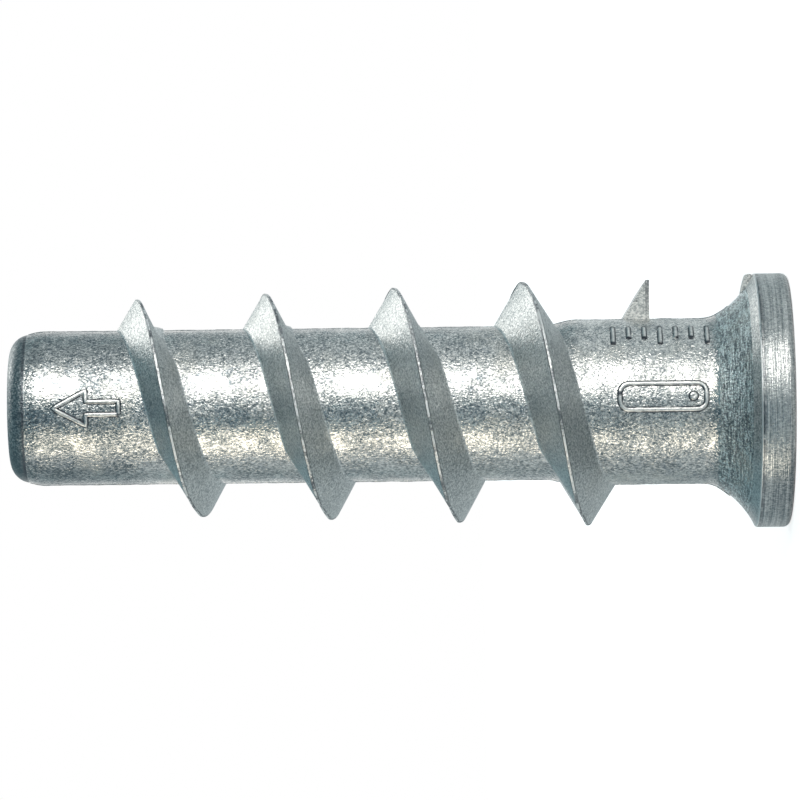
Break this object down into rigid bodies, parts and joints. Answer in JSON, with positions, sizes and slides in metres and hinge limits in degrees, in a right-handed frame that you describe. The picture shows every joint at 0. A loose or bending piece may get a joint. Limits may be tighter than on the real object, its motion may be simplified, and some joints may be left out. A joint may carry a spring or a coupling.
{
  "type": "aerated concrete anchor",
  "caption": "Die-cast screw-in anchor for aerated concrete: coarse outer thread on a plain round body, flared flange head, hexagon drive socket and a threaded bore for a screw.",
  "frame": {"origin": "centre of the head's flat end face, on which the anchor stands", "axes": "+Z along the axis from the head to the tip; the casting die parts in the plane y = 0, and the coarse thread starts and ends on the +X side"},
  "size_m": [0.0196, 0.0196, 0.06],
  "materials": {
    "zinc": "satin die-cast zinc"
  },
  "bodies": {
    "root": {"anchor": "zinc"}
  },
  "joints": []
}
